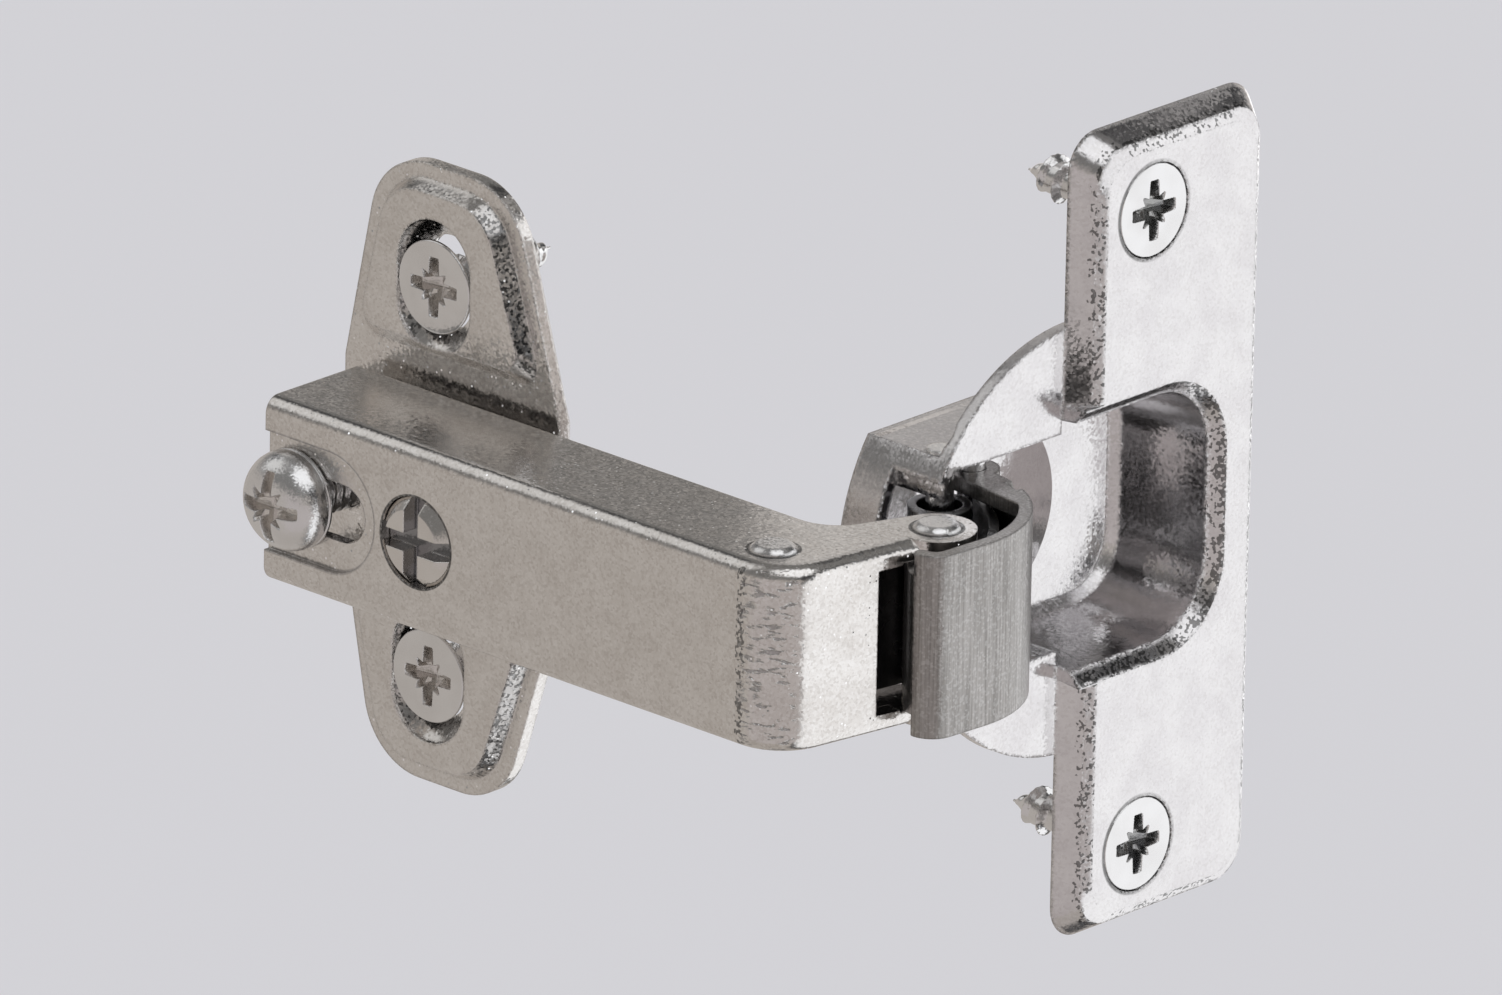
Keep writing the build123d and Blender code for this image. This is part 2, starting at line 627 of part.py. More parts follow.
def cup():
    """Pressed cup: raised flange, two flat ears, cheeks for the pins and a drawn trough."""
    flange = flange_block(0, FLANGE_RISE, FLANGE_EDGE)
    under = flange_block(CUP_SHEET, FLANGE_RISE - CUP_SHEET, 0)
    drum = door * extrude(Circle(CUP_RADIUS), amount=-CUP_DEPTH - CUP_SHEET)
    inner_drum = door * extrude(Circle(CUP_RADIUS - CUP_SHEET), amount=-CUP_DEPTH)
    right_half = door * Pos(FLANGE_LEFT + reach / 2, 0, 0) * Box(reach, reach, reach)
    left_place = door * Pos(FLANGE_LEFT - reach / 2, 0, 0)
    ear_half = left_place * Pos(CUP_SHEET, 0, 0) * Box(reach, reach, reach)
    narrow = left_place * Box(reach, 2 * cheek_half, reach)
    narrow_outer = left_place * Box(reach, 2 * cup_pin_half, reach)

    ears = (door * extrude(Circle(CUP_RADIUS), amount=-CUP_SHEET)) & ear_half
    right_body = cup_trough(CUP_SHEET, CUP_DEPTH + CUP_SHEET) & right_half
    left_body = drum & narrow_outer
    right_space = (cup_trough(0, CUP_DEPTH) + mouth_flare()) & right_half
    over_door = door * Pos(0, 0, reach / 2) * Box(reach, reach, reach)
    left_space = (inner_drum & narrow) + (narrow & over_door)
    shell = flange - under + ears + right_body + left_body
    seats = []
    for side in (1, -1):
        place = door * Pos(CUP_SCREW_OFFSET, side * CUP_SCREW_SPACING / 2, FLANGE_RISE)
        wide = HEAD_RADIUS + SEAT_GAP + SEAT_WALL
        shell = shell + place * Pos(0, 0, -FLANGE_RISE) * block(wide, FLANGE_RISE)
        seats.append(place * screw_seat(0))
    for seat in seats:
        shell = shell - seat
    shell = shell - right_space - left_space
    cut = Box(2 * CHEEK_CUT_LENGTH, 2 * (cheek_half - CUP_SHEET / 2), CHEEK_CUT_DEPTH)
    shell = shell - door * Pos(-CUP_RADIUS, 0, -CHEEK_CUT_DEPTH / 2) * cut
    for point in (outer_cup_pin, inner_cup_pin):
        shell = shell - upright(point, CUP_PIN_RADIUS + PRESS_GAP, FLANGE_HALF_HEIGHT)
    return shell


def cup_screw(side):
    place = door * Pos(CUP_SCREW_OFFSET, side * CUP_SCREW_SPACING / 2, FLANGE_RISE)
    return place * wood_screw()


def plate_screw(side):
    return panel * Pos(0, side * PLATE_SCREW_SPACING / 2, PAD_RISE) * wood_screw()


def arm_pin(point):
    return riveted_pin(point, PIN_RADIUS, RIVET_RADIUS, ARM_HEIGHT / 2)


def cup_pin(point):
    return upright(point, CUP_PIN_RADIUS, cup_pin_half + CUP_PIN_PROUD)


nodes = {
    "mounting_plate": mounting_plate(),
    "plate_screw_upper": plate_screw(1),
    "plate_screw_lower": plate_screw(-1),
    "fixing_screw": fixing_screw(),
    "hinge_arm": hinge_arm(),
    "overlay_screw": overlay_screw(),
    "arm_pin_rear": arm_pin(REAR_PIN),
    "arm_pin_front": arm_pin(FRONT_PIN),
    "outer_link": outer_link(),
    "inner_link": inner_link(),
    "leaf_spring": leaf_spring(),
    "cup": cup(),
    "cup_pin_outer": cup_pin(outer_cup_pin),
    "cup_pin_inner": cup_pin(inner_cup_pin),
    "cup_screw_upper": cup_screw(1),
    "cup_screw_lower": cup_screw(-1),
}

os.makedirs("parts", exist_ok=True)
for name, shape in nodes.items():
    export_step(shape, "parts/" + name + ".step")
    print(name, len(shape.solids()), round(shape.volume, 2))
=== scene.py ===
import math

import bpy
from mathutils import Matrix, Vector


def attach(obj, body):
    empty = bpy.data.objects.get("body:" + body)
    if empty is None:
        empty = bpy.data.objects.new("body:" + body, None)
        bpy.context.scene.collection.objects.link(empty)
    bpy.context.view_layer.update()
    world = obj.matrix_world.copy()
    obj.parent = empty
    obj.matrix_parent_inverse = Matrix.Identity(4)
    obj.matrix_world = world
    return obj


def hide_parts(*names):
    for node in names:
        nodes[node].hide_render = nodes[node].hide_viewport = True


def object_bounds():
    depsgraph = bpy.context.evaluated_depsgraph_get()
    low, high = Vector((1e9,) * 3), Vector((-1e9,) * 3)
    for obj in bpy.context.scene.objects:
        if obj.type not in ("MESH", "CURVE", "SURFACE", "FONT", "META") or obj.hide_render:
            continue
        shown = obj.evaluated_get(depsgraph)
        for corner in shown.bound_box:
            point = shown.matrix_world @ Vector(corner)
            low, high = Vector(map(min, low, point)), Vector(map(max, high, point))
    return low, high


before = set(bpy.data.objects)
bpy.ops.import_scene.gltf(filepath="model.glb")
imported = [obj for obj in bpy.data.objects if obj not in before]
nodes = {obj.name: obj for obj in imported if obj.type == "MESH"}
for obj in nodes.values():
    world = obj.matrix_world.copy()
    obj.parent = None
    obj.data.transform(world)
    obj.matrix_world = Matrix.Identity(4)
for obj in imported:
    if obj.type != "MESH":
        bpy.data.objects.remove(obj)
cad_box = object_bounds()
MM = 0.001

# The photograph's frame, and the view that its upright and level lines give
PHOTO_WIDTH = 1502
PHOTO_HEIGHT = 995
PIXELS_PER_METRE = 13033
VIEW_AZIMUTH = math.radians(-47.26)
VIEW_ELEVATION = math.radians(20.53)
VIEW_ROLL = 0.02
ANCHOR = Vector((5, -22, 0)) * MM
ANCHOR_PIXEL = (705, 531)
LENS = 600
SENSOR = 36
CLIP_SHARE = 20

# Floor, even light and lamps
FLOOR_DROP = 0.25
FLOOR_COLOUR = (0.745, 0.74, 0.775, 1)
STUDIO_SIZE = 6
EVEN_LIGHT = 0.85
KEY_OFFSET = Vector((-0.5, -0.6, 0.9))
KEY_SIZE = 0.7
KEY_RADIANCE = 0.9
KEY_COLOUR = (1, 1, 1)
BACK_CARD_PLACE = Vector((0.050, -0.020, 0.036))
BACK_CARD_AIM = Vector((-0.006, -0.068, 0.008))
BACK_CARD_SIZE = 0.05
BACK_CARD_RADIANCE = 0.30
BACK_CARD_COLOUR = (1, 0.96, 0.93)

# The room that the metal mirrors, which darkens between two heights of a unit direction
ROOM = (0.47, 0.435, 0.405, 1)
ROOM_ABOVE = (0.185, 0.18, 0.175, 1)
ROOM_DARKENS = (0.05, 0.45)
WHITE_CARD = (1.05, 1.05, 1.06, 1)
SOFT_CARD = (0.70, 0.69, 0.68, 1)
STRIPE = (1.5, 1.5, 1.52, 1)
PINKISH = (0.50, 0.46, 0.45, 1)
SHADE = (0.035, 0.035, 0.037, 1)

# Cards in that room: colour, azimuth, elevation, radius and soft border in degrees
CARDS = (
    (PINKISH, -160, -22, 34, 10),
    (SHADE, -42.5, -20, 62, 6),
    (PINKISH, -130, -24, 26, 5),
    (WHITE_CARD, -42.5, -20, 55, 3),
    (STRIPE, 31, -20, 8, 6),
    (SHADE, 72, 40, 11, 8),
    (SOFT_CARD, 110, 46, 20, 18),
    (WHITE_CARD, -105, 62, 27, 6),
    (SHADE, 8, 38, 14, 10),
    (SHADE, -96, 22, 13, 8),
)

# Colours of the metals, where they are bright and where they are dim
NICKEL = (0.80, 0.78, 0.76)
NICKEL_DIM = (0.74, 0.715, 0.69)
CUP_NICKEL = (0.80, 0.79, 0.795)
CUP_NICKEL_DIM = (0.74, 0.725, 0.735)
ZINC = (0.84, 0.84, 0.845)
ZINC_DIM = (0.78, 0.775, 0.775)
# Dark steel of the inner link, also the colour of painted shade on the plating and of the cracks
DARK_STEEL_AND_PAINTED_SHADE = (0.30, 0.30, 0.31)
DARK_STEEL_DIM = (0.22, 0.22, 0.225)
# Painted shade for the cup screws' deep recesses
CUP_RECESS_PAINTED_SHADE = (0.42, 0.42, 0.41)
# Painted shade in gaps, round heads and in the painted dark grains
RECESS_SHADE = (0.12, 0.12, 0.12)
SPARKLE_DARK = (0.40, 0.37, 0.34)
LINK_STEEL = (0.43, 0.415, 0.405)
LINK_STEEL_DIM = (0.27, 0.26, 0.25)
WHITE = (1, 1, 1)
MIDDLE = (0.5, 0.5, 0.5)

# Finish of each metal: roughness, and width of the rounded edges in mm
PLATE_FINISH = (0.17, 0.4)
ARM_FINISH = (0.18, 0.15)
CUP_FINISH = (0.15, 0.5)
LINK_FINISH = (0.32, 0.3)
DARK_FINISH = (0.28, 0.25)
OVERLAY_FINISH = (0.15, 0.2)
RECESS_FINISH = (0.2, 0.1)
PIN_FINISH = (0.15, 0.45)
ZINC_FINISH = (0.13, 0.1)
SATIN_FINISH = (0.24, 0.1)

# Soft waves in the surface: length and height in mm, and detail
PLATE_WAVES = (1.1, 0.012, 2.0)
ARM_WAVES = (1.2, 0.012, 2.0)
CUP_WAVES = (1.6, 0.012, 2.0)
DARK_WAVES = (0.5, 0.02, 3.0)
SCREW_WAVES = (0.5, 0.012, 3.0)
RECESS_WAVES = (0.3, 0.03, 3.0)

# Crystals that lean: size in mm, lean, and how much more they lean along the edges
PLATE_GRAIN = (0.2, 0.11, 0.7)
ARM_GRAIN = (0.2, 0.09, 0.5)
CUP_GRAIN = (0.2, 0.07, 1.0)
LINK_GRAIN = (0.16, 0.12, 0.3)
DARK_GRAIN = (0.12, 0.12, 0.0)
OVERLAY_GRAIN = (0.12, 0.1, 0.0)
PIN_GRAIN = (0.15, 0.12, 0.0)
ZINC_GRAIN = (0.12, 0.07, 0.0)
SATIN_GRAIN = (0.12, 0.14, 0.0)

# Lighter and darker crystals: size in mm and strength
PLATE_SPARKLE = (0.2, 0.22)
ARM_SPARKLE = (0.2, 0.24)
CUP_SPARKLE = (0.22, 0.12)
LINK_SPARKLE = (0.18, 0.16)
LIGHTER_CRYSTALS = (0.55, 1.0)
DARKER_CRYSTALS = (0.45, 0.0)

# Rare bright dots: size in mm and share of the crystals
PLATE_SPECKS = (0.3, 0.05)
ARM_SPECKS = (0.3, 0.06)
SPECK_REACH = 0.3
SPECK_CENTRE = (0.8, 0.9, 0.2)
SPECK_TILT = 0.9

# Painted dark grains that stand for dark reflections, the patches that every metal has, its edges, and soft
# lines of painted shade
SPECKLE_LIMIT = 1.25
SPECKLE_STRENGTH = 0.85
MOTTLE_SIZE = 3.2
MOTTLE_DETAIL = 3.0
MOTTLE_BAND = (0.3, 0.7)
MOTTLE_POLISH = 0.05
BEVEL_SAMPLES = 6
EDGE_BAND = (1.0, 0.93)
LINE_CORE = 0.4
SHADE_LINE = 0.16
SURFACE = 0.05

# The slope of the plate's pads on the side towards the cup, by the face's direction, which gets painted
# shade and painted dark grains
PAD_SLOPE_TILTED = (0.15, 0.3)
PAD_SLOPE_STEEP = (0.85, 0.7)
PAD_SLOPE_SIDE = (-0.3, -0.5)
PAD_SLOPE_SHADE = 0.4
PAD_SLOPE_GRAIN = 0.2
PAD_SLOPE_SPECKLE = 0.6

# The arm's web, its bend and its holes, in mm as in the source
ARM_HALF_HEIGHT = 7.55
ARM_WEB = -12.8
BEND_START = -42.1
BEND_END = -10.4
SLOT_PAD_CENTRE = 1.05
SLOT_PAD_HALF = 4.9
SLOT_PAD_SUNK = 0.55
OVERLAY_Y = -8.3
OVERLAY_RADIUS = 3.66
PIN_HEADS = (((-8.8, -41.9), 2.06), ((3.5, -47.4), 2.06))

# Marks on the arm: crazing of the bend, painted dark grains where it starts (a painted dark reflection),
# and shade lines
TOP_FADE = (ARM_HALF_HEIGHT, ARM_HALF_HEIGHT - 0.8)
CRAZED_FROM = (BEND_START + 0.4, BEND_START - 0.9)
CRAZED_TO = (BEND_END, BEND_END - 0.5)
CRACK_SIZE = 1.3
CRACK_DETAIL = 3.0
CRACK_STRETCH = (1.0, 1.0, 3.6)
CRACK_BAND = (0.45, 0.37)
CRACK_PATCH_SIZE = 2.2
CRACK_PATCH_BAND = (0.36, 0.5)
CRACK_DEPTH = 0.12
CRACK_SHADE = 0.65
BEND_LINE_FROM = (BEND_START + 0.5, BEND_START - 0.1)
BEND_LINE_TO = (BEND_START - 0.9, BEND_START - 0.3)
BEND_LINE_DEPTH = 1.4
BEND_LINE_GRAIN = 0.22
BEND_LINE_SPECKLE = 0.75
OVERLAY_GAP = 0.06
PAD_LINE = (0.22, 0.08)
PAD_LINE_SHADE = 0.5

# The cup's floor and flange, in mm as in the source, and the floor's relief
CUP_FLOOR = -35.3
CUP_SHEET = 1.1
CUP_DISC_CENTRE = Vector((21.6, CUP_FLOOR, 0.4))
CUP_DISC_RADIUS = 8.3
CUP_DISC_CROWN = 1.5
CUP_DISC_POWER = 1.3
CUP_RIM_SLOPE = 0.27
FLANGE_MIDDLE = -43.4
FLANGE_FACE = -45.2

# Marks on the cup: painted shade on the trough's lower wall, painted dark grains on folds, painted shade
# round screws
TROUGH_FADE = (FLANGE_MIDDLE - 0.5, FLANGE_MIDDLE + 1.0)
FACES_UP = (0.4, 0.8)
LOWER_WALL_SHADE = 0.35
FOLD_BAND = (0.92, 0.8)
FOLD_GRAIN = 0.24
FOLD_SPECKLE = 0.8
SEAT_GAP = 0.15
SEAT_LINE = 0.3
SEAT_SIDE = (1.0, -3.0)
SEAT_SHADE = 0.25
SEAT_SIDE_SHADE = 0.6

# Brushed lines of the rolled link
BRUSH_WIDTH = 0.2
BRUSH_DETAIL = 4.0
BRUSH_STRETCH = (1.0, 1.0, 0.025)
BRUSH_BAND = (0.3, 0.7)
BRUSH_DEPTH = 0.02

# The overlay screw's cross, in mm from its face
OVERLAY_FACE = -13.4
OVERLAY_BAR = 0.75
OVERLAY_GROOVE = (1.1, 1.4)
OVERLAY_THICK = 2.0

# Where the screws are, in mm as in the source, and the directions of their faces
PLATE_SCREW_FACE = -2.5
PLATE_SCREW_HEIGHT = 16.0
CUP_SCREW_PLACE = (29.8, -45.2, 26.0)
FIXING_SEAT = (-12.4, 4.9, 0.0)
OUT_OF_PANEL = Vector((-1, 0, 0))
ACROSS_PANEL = Vector((0, -1, 0))
OUT_OF_DOOR = Vector((0, -1, 0))
ACROSS_DOOR = Vector((1, 0, 0))

# Wood screws, with radius and height of the rings round the recess
SCREW_HEAD_RADIUS = 3.75
SCREW_HEAD_LAND = 0.3
SCREW_HEAD_RINGS = (
    (2.8, 0),
    (3.2, 0),
    (3.55, 0),
    (3.68, -0.03),
    (SCREW_HEAD_RADIUS, -0.11),
    (SCREW_HEAD_RADIUS, -SCREW_HEAD_LAND),
)
SCREW_NECK = 0.3
SCREW_CORE = 1.3
SCREW_THREAD = 0.6
SCREW_PITCH = 1.8
SCREW_LENGTH = 13.0
SCREW_POINT = 2.6
SCREW_TIP_SHARE = 0.06
THREAD_RIDGE = 0.28

# Star recess: share of its reach, width in mm and narrowing of its long and its short arms
STAR_ARMS = ((1, 1.25, 0.25), (0.72, 1.5, 0.9))
STAR_REACH = 2.45
STAR_MARGIN = 1.04
STAR_DEPTH = 1.7
STAR_FLOOR = 0.55
STAR_WALL = 0.16
STAR_END = 0.3
RECESS_START = 0.12

# Fixing screw, with inset and height of the rings at its domed head's edge
DOME_RADIUS = 4.0
DOME_EDGE = 0.8
DOME_HEIGHT = 3.4
DOME_POWER = 3
DOME_FALL = 1 / 1.7
DOME_STAR_REACH = 2.85
DOME_STAR_MARGIN = 1.03
DOME_EDGE_RINGS = ((0, 0.5), (0.12, 0.42), (0.12, 0.3), (0, 0.22), (0, 0.06), (0.1, 0))
FIXING_LENGTH = 9.0
FIXING_CORE = 1.7
FIXING_THREAD = 0.4
FIXING_PITCH = 0.9
FIXING_NECK = 0.1

# Fineness of the screws' meshes, and the angle in degrees of a sharp edge
SEGMENTS = 208
RECESS_RINGS = 56
DOME_RINGS = 14
THREAD_RINGS = 110
SHARP_ANGLE = 32


def view_axes():
    """The view's right, up and backward directions, with the photograph's small roll."""
    sin_a, cos_a = math.sin(VIEW_AZIMUTH), math.cos(VIEW_AZIMUTH)
    sin_e, cos_e = math.sin(VIEW_ELEVATION), math.cos(VIEW_ELEVATION)
    right = Vector((cos_a, sin_a, 0))
    up = Vector((-sin_a * sin_e, cos_a * sin_e, cos_e))
    back = Vector((sin_a * cos_e, -cos_a * cos_e, sin_e))
    turned_right = right * math.cos(VIEW_ROLL) + up * math.sin(VIEW_ROLL)
    turned_up = up * math.cos(VIEW_ROLL) - right * math.sin(VIEW_ROLL)
    return turned_right, turned_up, back


def make_camera():
    """A long lens that puts a point of the arm on its pixel of the photograph."""
    right, up, back = view_axes()
    across = (PHOTO_WIDTH / 2 - ANCHOR_PIXEL[0]) / PIXELS_PER_METRE
    above = (ANCHOR_PIXEL[1] - PHOTO_HEIGHT / 2) / PIXELS_PER_METRE
    target = ANCHOR + right * across + up * above
    distance = LENS / SENSOR * PHOTO_WIDTH / PIXELS_PER_METRE
    camera = bpy.data.objects.new("camera", bpy.data.cameras.new("camera"))
    bpy.context.scene.collection.objects.link(camera)
    camera.data.lens = LENS
    camera.data.sensor_width = SENSOR
    camera.data.clip_start = distance / CLIP_SHARE
    camera.data.clip_end = distance * CLIP_SHARE
    turn = Matrix((right, up, back)).transposed().to_4x4()
    camera.matrix_world = Matrix.Translation(target + back * distance) @ turn
    bpy.context.scene.camera = camera
    return target


def area_light(name, place, target, size, radiance, colour):
    """A square softbox with a given brightness on its face, hidden from the camera."""
    lamp = bpy.data.lights.new(name, "AREA")
    lamp.shape = "RECTANGLE"
    lamp.size = size
    lamp.size_y = size
    lamp.energy = radiance * size * size * math.pi
    lamp.color = colour
    holder = bpy.data.objects.new(name, lamp)
    bpy.context.scene.collection.objects.link(holder)
    holder.location = place
    holder.rotation_euler = (target - place).to_track_quat("-Z", "Y").to_euler()
    holder.visible_camera = False
    return holder


class Graph:
    """A short way to write a node tree."""

    def __init__(self, tree):
        self.tree = tree
        self.tree.nodes.clear()

    def add(self, kind, settings=None, **sockets):
        made = self.tree.nodes.new(kind)
        for name, value in (settings or {}).items():
            setattr(made, name, value)
        for name, value in sockets.items():
            self.put(made.inputs[name.replace("_", " ")], value)
        return made

    def put(self, socket, value):
        """Link a socket, or give it a plain value."""
        if isinstance(value, bpy.types.NodeSocket):
            self.tree.links.new(value, socket)
        elif socket.type == "RGBA" and len(value) == 3:
            socket.default_value = (*value, 1)
        else:
            socket.default_value = value

    def maths(self, operation, first, second=0.0, third=0.0):
        made = self.tree.nodes.new("ShaderNodeMath")
        made.operation = operation
        for socket, value in zip(made.inputs, (first, second, third)):
            self.put(socket, value)
        return made.outputs[0]

    def product(self, first, *others):
        """Several shares multiplied together."""
        result = first
        for share in others:
            result = self.maths("MULTIPLY", result, share)
        return result

    def vector(self, operation, first, second=None, scale=None):
        made = self.tree.nodes.new("ShaderNodeVectorMath")
        made.operation = operation
        self.put(made.inputs[0], first)
        if second is not None:
            self.put(made.inputs[1], second)
        if scale is not None:
            self.put(made.inputs["Scale"], scale)
        if operation in ("DOT_PRODUCT", "LENGTH", "DISTANCE"):
            return made.outputs["Value"]
        return made.outputs["Vector"]

    def between(self, value, start, end):
        """A smooth step from 0 at start to 1 at end."""
        made = self.add("ShaderNodeMapRange", {"interpolation_type": "SMOOTHSTEP"})
        self.put(made.inputs["Value"], value)
        self.put(made.inputs["From Min"], start)
        self.put(made.inputs["From Max"], end)
        return made.outputs["Result"]

    def between_mm(self, value, start, end):
        """The same step for a place in metres, between two places in mm."""
        return self.between(value, start * MM, end * MM)

    def mix(self, share, first, second):
        made = self.tree.nodes.new("ShaderNodeMix")
        made.data_type = "RGBA"
        self.put(made.inputs[0], share)
        self.put(made.inputs[6], first)
        self.put(made.inputs[7], second)
        return made.outputs[2]

    def noise(self, place, size, detail=2.0, stretch=None):
        """Smooth noise with features of a size in mm, shorter along stretched axes."""
        if stretch:
            place = self.add("ShaderNodeMapping", Vector=place, Scale=stretch).outputs[0]
        scale = 1 / (size * MM)
        return self.add("ShaderNodeTexNoise", Vector=place, Scale=scale, Detail=detail).outputs["Fac"]


def heading(azimuth, elevation):
    """A unit direction from angles in degrees."""
    turn, rise = math.radians(azimuth), math.radians(elevation)
    return (math.cos(turn) * math.cos(rise), math.sin(turn) * math.cos(rise), math.sin(rise))


def make_world():
    """Even light for matt surfaces, and a room with cards for metal to mirror."""
    world = bpy.data.worlds.new("studio")
    bpy.context.scene.world = world
    world.use_nodes = True
    graph = Graph(world.node_tree)
    direction = graph.add("ShaderNodeTexCoord").outputs["Generated"]
    rise = graph.add("ShaderNodeSeparateXYZ", Vector=direction).outputs["Z"]
    studio = graph.mix(graph.between(rise, *ROOM_DARKENS), ROOM, ROOM_ABOVE)
    for colour, azimuth, elevation, radius, border in CARDS:
        near = graph.vector("DOT_PRODUCT", direction, heading(azimuth, elevation))
        outer = math.cos(math.radians(radius + border / 2))
        inner = math.cos(math.radians(radius - border / 2))
        studio = graph.mix(graph.between(near, outer, inner), studio, colour)
    path = graph.add("ShaderNodeLightPath")
    even = (EVEN_LIGHT, EVEN_LIGHT, EVEN_LIGHT, 1)
    seen = graph.mix(path.outputs["Is Glossy Ray"], even, studio)
    shown = graph.mix(path.outputs["Is Camera Ray"], seen, FLOOR_COLOUR)
    background = graph.add("ShaderNodeBackground", Color=shown, Strength=1.0)
    graph.add("ShaderNodeOutputWorld", Surface=background.outputs[0])


def make_floor(centre):
    """The plain pale floor, well below the hinge, which a panel holds up."""
    half = STUDIO_SIZE / 2
    mesh = bpy.data.meshes.new("floor")
    height = cad_box[0].z - FLOOR_DROP
    corners = [
        (centre.x + side_x * half, centre.y + side_y * half, height)
        for side_x, side_y in ((-1, -1), (1, -1), (1, 1), (-1, 1))
    ]
    mesh.from_pydata(corners, [], [(0, 1, 2, 3)])
    floor = bpy.data.objects.new("floor", mesh)
    bpy.context.scene.collection.objects.link(floor)
    floor.visible_glossy = False
    material = bpy.data.materials.new("floor")
    material.use_nodes = True
    graph = Graph(material.node_tree)
    matt = graph.add("ShaderNodeBsdfDiffuse", Color=FLOOR_COLOUR)
    graph.add("ShaderNodeOutputMaterial", Surface=matt.outputs[0])
    mesh.materials.append(material)


class Metal(Graph):
    """A metal being built: its place, colour, roughness and normal."""

    def __init__(self, name, bright, dim, roughness, edge):
        self.material = bpy.data.materials.new(name)
        self.material.use_nodes = True
        super().__init__(self.material.node_tree)
        self.place = self.add("ShaderNodeTexCoord").outputs["Object"]
        parts = self.add("ShaderNodeSeparateXYZ", Vector=self.place)
        self.x, self.y, self.z = parts.outputs
        mottle = self.between(self.noise(self.place, MOTTLE_SIZE, MOTTLE_DETAIL), *MOTTLE_BAND)
        self.colour = self.mix(mottle, dim, bright)
        self.rough = self.maths("MULTIPLY_ADD", mottle, -MOTTLE_POLISH, roughness + MOTTLE_POLISH / 2)
        rounded = self.add("ShaderNodeBevel", {"samples": BEVEL_SAMPLES}, Radius=edge * MM)
        self.normal = rounded.outputs[0]
        smooth = self.add("ShaderNodeNewGeometry").outputs["Normal"]
        self.edge = self.between(self.vector("DOT_PRODUCT", self.normal, smooth), *EDGE_BAND)

    def facing(self):
        """The flat face's direction along x, y and z of its own body, which turns with it."""
        flat = self.add("ShaderNodeNewGeometry").outputs["True Normal"]
        spaces = {"vector_type": "NORMAL", "convert_from": "WORLD", "convert_to": "OBJECT"}
        own = self.add("ShaderNodeVectorTransform", spaces, Vector=flat).outputs[0]
        return self.add("ShaderNodeSeparateXYZ", Vector=own).outputs

    def cover(self, share, colour):
        """Another colour where share is high."""
        self.colour = self.mix(share, self.colour, colour)

    def press(self, height, depth):
        """Relief from a height, with the depth in mm that a height of 1 stands for."""
        bump = self.add("ShaderNodeBump", Height=height, Strength=1.0, Distance=depth * MM)
        self.put(bump.inputs["Normal"], self.normal)
        self.normal = bump.outputs[0]

    def waves(self, size, depth, detail):
        """Soft waves of pressed or rolled metal."""
        self.press(self.noise(self.place, size, detail), depth)

    def cells(self, size):
        """Crystals of a size in mm, each with a random colour."""
        return self.add("ShaderNodeTexVoronoi", Vector=self.place, Scale=1 / (size * MM))

    def pick(self, cells, channel):
        """A random number for each crystal."""
        return self.add("ShaderNodeSeparateColor", Color=cells.outputs["Color"]).outputs[channel]

    def tilt(self, cells, centre, amount):
        """Lean each crystal its own way."""
        centred = self.vector("SUBTRACT", cells.outputs["Color"], centre)
        turned = self.vector("SCALE", centred, scale=amount)
        self.normal = self.vector("NORMALIZE", self.vector("ADD", self.normal, turned))

    def grain(self, size, lean, edge_lean):
        """Leaning crystals, which lean more along the edges."""
        amount = self.maths("MULTIPLY_ADD", self.edge, edge_lean, lean)
        self.tilt(self.cells(size), MIDDLE, amount)

    def sparkle(self, size, strength):
        """Crystals that are each a little lighter or darker than the next."""
        pick = self.pick(self.cells(size), 1)
        lighter = self.product(self.between(pick, *LIGHTER_CRYSTALS), strength)
        darker = self.product(self.between(pick, *DARKER_CRYSTALS), strength)
        self.cover(darker, SPARKLE_DARK)
        self.cover(lighter, WHITE)

    def speckle(self, size, share):
        """Painted dark grains where share is high, as on a tight fold: they stand for dark reflections of
        crystals.
        """
        pick = self.pick(self.cells(size), 2)
        chosen = self.maths("GREATER_THAN", self.maths("ADD", pick, share), SPECKLE_LIMIT)
        self.cover(self.product(chosen, SPECKLE_STRENGTH), RECESS_SHADE)

    def specks(self, size, share):
        """Rare bright dots of the plating."""
        cells = self.cells(size)
        chosen = self.maths("GREATER_THAN", self.pick(cells, 0), 1 - share)
        near = self.maths("LESS_THAN", cells.outputs["Distance"], SPECK_REACH)
        spot = self.product(chosen, near)
        self.tilt(cells, SPECK_CENTRE, self.product(spot, SPECK_TILT))
        self.cover(spot, WHITE)

    def line_at(self, distance, radius, width, core):
        """A soft line where a distance is a radius, dark within its core, all in mm."""
        off = self.maths("ABSOLUTE", self.maths("SUBTRACT", distance, radius * MM))
        return self.between_mm(off, width, core)

    def ring_of(self, centre, axis, radius, width):
        """A thin ring round an axis through a centre, for the shade in a narrow gap."""
        away = self.vector("SUBTRACT", self.place, tuple(Vector(centre) * MM))
        flat = self.vector("MULTIPLY", away, tuple(1 - abs(part) for part in axis))
        return self.line_at(self.vector("LENGTH", flat), radius, width, LINE_CORE * width)

    def done(self):
        shader = self.add(
            "ShaderNodeBsdfPrincipled",
            Base_Color=self.colour,
            Metallic=1.0,
            Roughness=self.rough,
            Normal=self.normal,
        )
        self.add("ShaderNodeOutputMaterial", Surface=shader.outputs[0])
        return self.material


